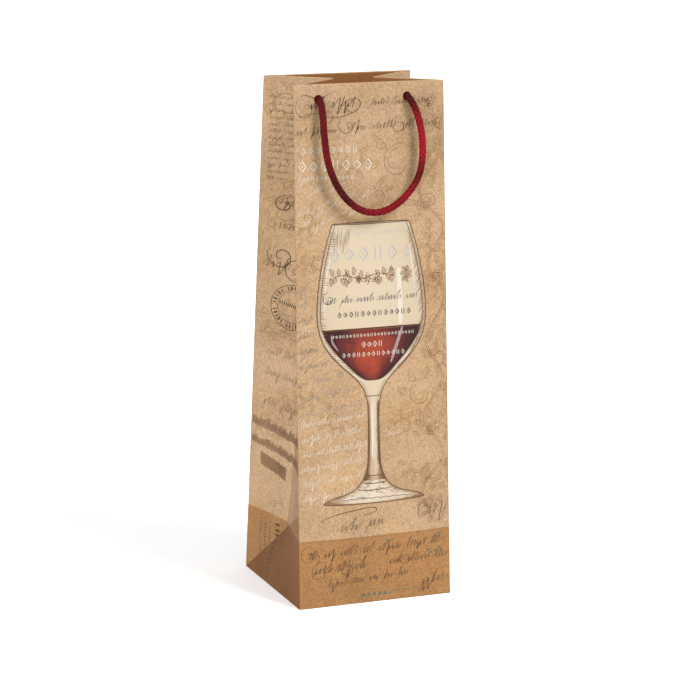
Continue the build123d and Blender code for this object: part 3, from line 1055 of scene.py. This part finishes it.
def print_wall(wall):
    """The whole print of one wall: damask, pen lines, borders and the drawn glass of red wine."""
    damask = Film(wall, "damask", 0, tan_ink)
    for u, v, radius, turns, start, way in damask_scrolls:
        scroll(damask, u, v, radius, turns * 0.66, start, way, 0.5)
        scroll(damask, u, v, radius * 0.84, turns * 0.42, start + 0.35 * way, way, 0.34)
        for k in range(5):
            angle = start + way * (k * 0.8 + 0.2)
            root = round_from(u, v, radius * 0.98, angle)
            acanthus(damask, *root, radius * 0.95, angle + 0.7 * way, 0.36, -way * 0.5)
    damask.stroke(stalk, 0.5)
    damask.stroke([(u + 1.5, v) for u, v in stalk], 0.36)
    for k, (u, v) in enumerate(stalk[:-1]):
        for j in range(3):
            angle = -1.2 + 1.2 * j + 0.6 * (k % 2)
            acanthus(damask, u - 2 + 3 * j, v - 5 - 4 * j, 10, angle, 0.36, 0.4 - 0.3 * j)

    slate = Film(wall, "slate_pen", 1, slate_ink)
    deep = Film(wall, "deep_slate_pen", 1, deep_slate_ink)
    for k in range(9):
        v = 214 - k * 10.5
        end = min(glass_middle - bowl_half(max(v + 8, 139.0)) - 3, -8)
        scribble(deep if 2 <= k <= 5 else slate, -54, v, end + 54, 2.3, 0.45, 0.14, 0.35)
    deep.stroke([(-54, 165), (-48, 171), (-42, 178)], 0.5, 0.35, 0.5)

    white = Film(wall, "white", 1, white_ink)
    for row in ((-50, 306.5, 42, 4.6, 0.42), (-52, 296.5, 54, 6.8, 0.62), (-52, 288.5, 40, 2.6, 0.3)):
        border(white, *row)
    for k in range(7):
        scribble(white, -52 + 7 * k, 284 - 6 * (k % 3) - 2 * k, 13, 1.9, 0.36, 0.5, 0.4)
        scribble(white, -54 + 5 * k, 262 - 5 * (k % 3), 14, 1.9, 0.34, 0.6, 0.4)
    for k in range(6):
        scribble(white, -54 + k % 3, 123 - k * 10, 48 - k, 2.5, 0.5, 0.1, 0.35)
    scribble(white, 8, 113, 17, 2.4, 0.42, 0.12, 0.4)

    dark = Film(wall, "sepia_pen", 1, dark_ink)
    for row in pen_lines:
        scribble(dark, *row)
    for row in pen_strokes:
        dark.stroke(*row)
    for row in pen_scrolls:
        scroll(dark, *row)

    ruled = Film(wall, "ruled_line", 0, tan_ink)
    for v in (44.6, 26.5, 17.5, 9.0, 4.6):
        ruled.line([(x, v + 0.0006 * x * x) for x in np.linspace(-54, 54, 30)], 0.3, 0.8)

    stamp = Film(wall, "teal_stamp", 2, teal_ink)
    for k in range(11):
        leaf(stamp, -10 + k * 2.0, 4.0 + 0.4 * math.sin(3 * k), 2.8, 0.9 + 0.9 * (k % 2), 1.3)
    for k in range(9):
        leaf(stamp, 13 + k * 2.2, 5.4 + 0.3 * math.sin(2 * k), 2.0, 1.3, 0.7)
    for u, v in ((38, 31), (40, 29), (43, 30.5), (46, 32), (44, 41), (46.5, 42), (8, 40.5), (11, 41)):
        leaf(stamp, u, v, 2.6, 0.5 + 0.3 * math.sin(u), 1.3)

    for label, layer, low, high, half, columns, spacing, wash in glass_parts:
        Film(wall, label, layer, wash).fill(low, high, half, columns, spacing)

    shine = Film(wall, "highlight", 4, gloss_ink)
    for row in shine_strokes:
        shine.stroke(*row)
    v = np.linspace(150, wine_level, 40)
    between = bowl_half(v) * 0.55 + np.minimum(wine_half(v), bowl_half(v) - 1.5) * 0.45
    for side in (-1, 1):
        shine.line(about(between * side, v), 0.8, 0.3)

    streak = Film(wall, "wine_streak", 4, mauve_ink)
    streak.stroke([(21.5, 187), (18.5, 179), (15.5, 171), (12.5, 163)], 2.3, 0.3)
    streak.stroke([(-30, 184), (-29, 179), (-25, 173)], 1.3, 0.2)

    outline = Film(wall, "glass_outline", 5, line_ink)
    for side in (-1, 1):
        v = np.linspace(stem_top, bowl_rim, 80)
        outline.line(about(side * (bowl_half(v) + 0.12 * np.sin(v * 0.9 + side)), v), 0.72, 0.7)
        v = np.linspace(wine_level, bowl_rim, 60)
        outline.line(about(side * (bowl_half(v) - 2.3), v), 0.5, 0.7)
        outline.line(about(side * (wine_line[:, 0] + 0.25), wine_line[:, 1]), 0.5, 0.7)
        v = np.linspace(foot_middle, stem_top, 70)
        outline.line(about(side * stem_half(v), v), 0.72, 0.6)
        v = np.linspace(92, 136, 40)
        outline.line(about(side * (stem_half(v) - 0.9), v), 0.55 + 0.25 * side, 0.5)
    turn = np.linspace(math.pi, 2 * math.pi, 60)
    sink = foot_drop * np.abs(np.sin(turn)) ** 0.7
    outline.line(about(foot_half * np.cos(turn), foot_middle - sink), 0.72, 0.6)
    inner = np.linspace(-30, 30, 50)
    outline.line(about(inner, foot_middle + 1.5 + 0.3 * np.sin(inner)), 0.4)
    rings = [(bowl_rim, 27.6, 0.6, 0.55, 0.5), (wine_level, 35.6, 1.1, 0.55, 0.5),
             (stem_top + 4, 5.4, 0.8, 0.55, 0.5), (88, 6.2, 0.9, 0.55, 0.5), (83, 8.6, 1.2, 0.55, 0.5),
             (78.5, 12, 1.2, 0.55, 0.5), (bowl_rim, 27.6, -0.5, 0.6, 0.6)]
    for v, half, drop, width, taper in rings:
        outline.line(about(half * np.cos(turn), v + drop * np.sin(turn)), width, taper)

    hatching = Film(wall, "glass_hatching", 6, soft_ink)
    rng = hatching.rng
    for k in range(64):
        v = 158 + k * 1.5
        half = bowl_half(v) - 0.6
        left, right_end = glass_middle - half, glass_middle + half
        reach = rng.uniform(2.0, 6.0)
        hatching.line([(left, v), (left + reach / 2, v - 0.3), (left + reach, v - 0.7)], 0.34)
        reach = rng.uniform(3, 7)
        marks = [(right_end, v + 1), (right_end - reach * 0.4, v - 1.4), (right_end - reach * 0.7, v - 3.4)]
        hatching.line(marks, 0.42)
    for k in range(15):
        u, v = -26.5 + k * 0.8, rng.uniform(249, 256.5)
        hatching.stroke([(u, v), (u - 0.7, v - 5), (u - 1.2, v - rng.uniform(7, 16))], 0.17)
    for side in (-1, 1):
        for k in range(60):
            v = 90 + k * 0.8
            start = glass_middle + side * float(stem_half(v))
            hatching.tick((start, v), (start - side * rng.uniform(0.8, 2.2 + 0.6 * side), v - 0.9), 0.3)
    for k in range(70):
        u = rng.uniform(-1, 1)
        v = rng.uniform(72.5, 84)
        start = glass_middle + u * float(stem_half(v)) * 0.85
        hatching.tick((start, v), (start + (2.2 if u > 0 else -2.2), v - 0.5), 0.3)

    pale = Film(wall, "pale_border", 3, pale_ink)
    border(pale, -32, 237, 62, 9.0, 1.0)
    scribble(pale, -22, 250, 46, 1.8, 0.35, tall=0.3)

    sprig = Film(wall, "sprig", 6, sprig_ink)
    sprig.stroke([(-31, 221), (-20, 223.5), (-8, 220.5), (4, 223.5), (17, 221)], 0.45)
    for k in range(26):
        u = -30 + k * 1.8
        if not -10 < u < 4:
            side = 1.0 if k % 2 else -1.0
            angle = side + 0.5 * math.sin(k * 2.1)
            acanthus(sprig, u, 222 + 1.2 * math.sin(k * 0.9), 5.6, angle, 0.4, side / 2)
    for u, v, size in ((-3.5, 220.5, 3.6), (2.6, 219.4, 2.6), (-9.5, 220, 2.4)):
        for k in range(6):
            angle = k * math.pi / 3 + 0.3
            scroll(sprig, *round_from(u, v, size * 0.66, angle), size * 0.42, 0.95, angle, 1, 0.42)
        scroll(sprig, u, v, size * 0.3, 1.0, 0, 1, 0.5)
    for k in range(7):
        acanthus(sprig, 24.5, 222 + 1.5 * math.sin(k), 4.6, k * 0.9, 0.4, 0.5)

    label = Film(wall, "label_border", 6, deep_slate_ink)
    scribble(label, -34, 205, 66, 2.8, 0.8, 0.01, 0.16)
    scroll(label, -31, 208, 4.5, 1.1, 1.6, 1, 0.5)
    border(label, -26, 197, 54, 3.6, 0.55)

    on_wine = Film(wall, "wine_border", 6, white_ink)
    for row in ((-30, 182.6, 60, 2.2, 0.3), (-9, 176.3, 16, 3.8, 0.42), (-23, 169.8, 46, 3.0, 0.38)):
        border(on_wine, *row)


for wall_name, face in walls.items():
    print_wall(page(wall_name, wall_place(face), half_width, 349, 0.5, 7))

gusset_scrolls = [
    (-22, 226, 8, 1.4, 2.4, 1, 0.7), (-12, 218, 8, 1.5, 5.4, -1, 0.7),
    (-20, 262, 6, 1.2, 0.8, 1, 0.7), (14, 226, 6, 1.3, 1.8, -1, 0.7),
]
gusset_rows = [(-34, 1.4), (-28, 1.6), (-22, 1.2), (-12, 6.5), (1, 1.3), (9, 3.0), (20, 1.3), (28, 1.1)]
gusset_lines = [(262, 3.0, 0.7), (246, 3.6, 0.75), (158, 2.8, 0.5), (143, 2.8, 0.5), (122, 3.4, 0.7)]


def print_gusset(gusset, side):
    """A gusset's print: damask, slanting pen lines, a round stamp, and rows of ruled bars."""
    limit, rng = gusset[2:]
    damask = Film(gusset, "damask", 0, tan_ink)
    for k in range(17):
        v = 332 - k * 19.0
        u = (-0.62, 0.1, 0.6, -0.25)[k % 4] * float(limit(v))
        scroll(damask, u, v, 8, 1.5, 0.9 * k, 1 if k % 2 else -1, 0.45)
        for j in range(5):
            angle = 0.9 * k + 1.1 * j
            acanthus(damask, *round_from(u, v, 7, angle), 9, angle + 0.8, 0.36, 0.4)

    pen = Film(gusset, "pen", 1, dark_ink)
    for k in range(13):
        v = 334 - 4.6 * k
        reach = float(limit(v))
        scribble(pen, 2 - reach, v, 2 * reach - 4, 1.3, 0.36, -0.04, 0.3)
    for v, size, width in gusset_lines:
        reach = float(limit(v)) - 4
        scribble(pen, 4 - reach, v, 2 * reach - 8, size, width, -0.08, 0.4)
    for row in gusset_scrolls:
        scroll(pen, *row)
    scribble(pen, -34 if side < 0 else 4, 219, 34, 4.2, 0.9, -0.1, 0.45)
    ring = np.linspace(0, 2 * math.pi, 70)
    middle = 13.0 * side, 192.0
    for radius, width in ((15.5, 0.45), (10.8, 0.35)):
        pen.line(np.array(middle) + radius * np.stack([np.cos(ring), np.sin(ring)], axis=1), width, 1)
    for k in range(34):
        if k % 6 != 5:
            start, end = (round_from(*middle, reach, k * math.pi / 17) for reach in (11.8, 14.6))
            pen.tick(start, end, 1.3 if k % 2 else 0.8, 0.7)
    for k in range(14):
        u, v = middle[0] - 9.5 + 1.45 * k, middle[1] + 1.6 - 0.3 * k
        pen.line([(u, v), (u + 0.3, v + 1.2), (u + 0.5, v + 2.6)], 0.8, 0.7)

    bars = Film(gusset, "bar", 1, soft_ink)
    for v, tall in ((106, 6.4), (93, 5.4)):
        reach = float(limit(v))
        for k in range(int(2 * reach / 1.15)):
            u = -reach + 1.15 * k
            low = v - 0.16 * (min(u, 0) + reach) - 0.03 * max(u, 0) + rng.uniform(-0.6, 0.6)
            top = low + tall * rng.uniform(0.75, 1.25)
            bars.line([(u, low), (u + 0.3, (low + top) / 2), (u + 0.5, top)], 1.0, 0.8)
    for k in range(30):
        u = -36 + 0.95 * k
        low = 78 - 0.22 * (u + 36) + rng.uniform(-0.4, 0.4)
        bars.line([(u, low), (u + 0.2, low + 4.5), (u + 0.3, low + 9)], 0.85, 0.9)
    for k in range(5):
        scribble(bars, -38 + 4 * k, 172 + 3.5 * k, 40, 1.8, 0.4, -0.12)

    rows = Film(gusset, "row", 1, dark_ink)
    for u, tall in gusset_rows:
        v = 3.0
        while v < 41:
            run = rng.uniform(0.6, 1.4) * (1 + tall / 3)
            half = tall * rng.uniform(0.3, 0.5)
            middle_v = v + run / 2
            rows.line([(u - half, middle_v), (u, middle_v + 0.1), (u + half, middle_v)], run * 0.62, 0.9)
            v += run + rng.uniform(0.3, 1.4)


for side_name, side in sides.items():
    print_gusset(page(f"{side_name}_gusset", gusset_place(side), fold_depth, 347, 0.7, 19), side)
for film in films:
    film.finish()


# Seam: the sheet's free edge is a glue flap, 14 mm wide, stuck inside the back wall along the
# fold at one side, with its lower corner cut back.
seam_low, seam_width, seam_inset = 0.006, 0.014, 0.001
seam_high = hem_low - 0.001
glue_gap = 0.00004
share, rise = np.meshgrid(np.linspace(0, 1, 9), steps(100))
climb = seam_low + share * seam_width / 2 + rise * (seam_high - seam_low - share * seam_width / 2)
x = half_width(climb * math.cos(lean)) - seam_inset - share * seam_width
glued = wall_face[1](x, climb) - np.array([0, math.cos(lean), math.sin(lean)]) * (paper + glue_gap)
bm = bmesh.new()
fold_layer = bm.verts.layers.float.new("fold")
grid(bm, glued, (True, True))
bmesh.ops.recalc_face_normals(bm, faces=bm.faces)
if sum(f.normal.y for f in bm.faces) > 0:
    bmesh.ops.reverse_faces(bm, faces=bm.faces)
seam = built(bm, "glued_seam_flap")
seam.data.materials.append(inside)
thicken(seam, 1)
settle(seam)
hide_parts("seam_flap")
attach(seam, "bag")


def finish_node(name, material):
    """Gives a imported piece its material."""
    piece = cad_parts[name]
    if not piece.material_slots:
        piece.data.materials.append(material)
    for slot in piece.material_slots:
        slot.material = material


# Stiffeners: a strip of grey card under the hem of each wall, which keeps the mouth flat and
# takes the pull of the cords. They are glued in, and only their cut edges show.
card = kraft("grey_card", (168, 160, 148), (128, 120, 110), contrast=1.3, depth=0.0001)[0]
for wall_name in walls:
    finish_node(f"{wall_name}_stiffener", card)

# Block bottom: two inner flaps from the gussets, and two outer flaps from the walls glued
# over them. The outer ones carry the band's dark print.
for wall_name in walls:
    finish_node(f"{wall_name}_bottom_flap", printed)
for side_name in sides:
    finish_node(f"{side_name}_bottom_flap", inside)

# Base board: a loose plate of grey board, cut to the base and dropped in to keep it flat.
board = kraft("base_board_grey", (150, 142, 130), (112, 104, 94), contrast=1.6, depth=0.00015)[0]
finish_node("base_board", board)


# Knots: each cord end is tied in an overhand knot behind the hem, with a short tail that hangs
# down inside. The pull of the handle draws the knot tight against the punched hole.
knot_cord = 0.0042
knot_pitch = 0.0125
knot_reach = 0.00112
knot_depth = hem_depth + knot_cord / 2 + 1.6 * knot_reach
knot_points = 15
tail_length = 0.013


def knot_route(face, x, turn):
    """A cord's way from its hole, round a trefoil, and down to the end of its tail."""
    route = [(0, 0, hem_depth + 0.0002), (0, 0, knot_depth - knot_reach)]
    spin_x, spin_y = math.cos(turn), math.sin(turn)
    for k in range(1, knot_points):
        t = math.pi * 2 * k / knot_points
        across = knot_reach * (math.sin(t) + 2 * math.sin(2 * t))
        climb = knot_reach * (math.cos(t) - 2 * math.cos(2 * t))
        inward = knot_depth - 1.5 * knot_reach * math.sin(3 * t)
        route.append((across * spin_x - climb * spin_y, across * spin_y + climb * spin_x, inward))
    route.append((0.0006, -0.0045, knot_depth + 0.001))
    route.append((0.0008, -tail_length * 0.7, knot_depth))
    route.append((0.0002, -tail_length, knot_depth - 0.0008))
    out = np.array([0, face * math.cos(lean), math.sin(lean)])
    rise = np.array([0, -face * math.sin(lean), math.cos(lean)])
    centre = wall_face[face](np.array(x), np.array(hole_height))
    return [centre + np.array([a, 0, 0]) + rise * b - out * c for a, b, c in route]


for wall_name, face in walls.items():
    hands = ("left", "right") if face < 0 else ("right", "left")  # as seen from outside
    for index, x in enumerate(hole_xs):
        points = along_spline(knot_route(face, x, 0.5 + 1.3 * index + 0.7 * face))
        knot = braided(f"{wall_name}_{hands[index]}_cord_knot", points, knot_cord, knot_pitch)
        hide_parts(f"{wall_name}_{hands[index]}_knot")
        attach(knot, "bag")
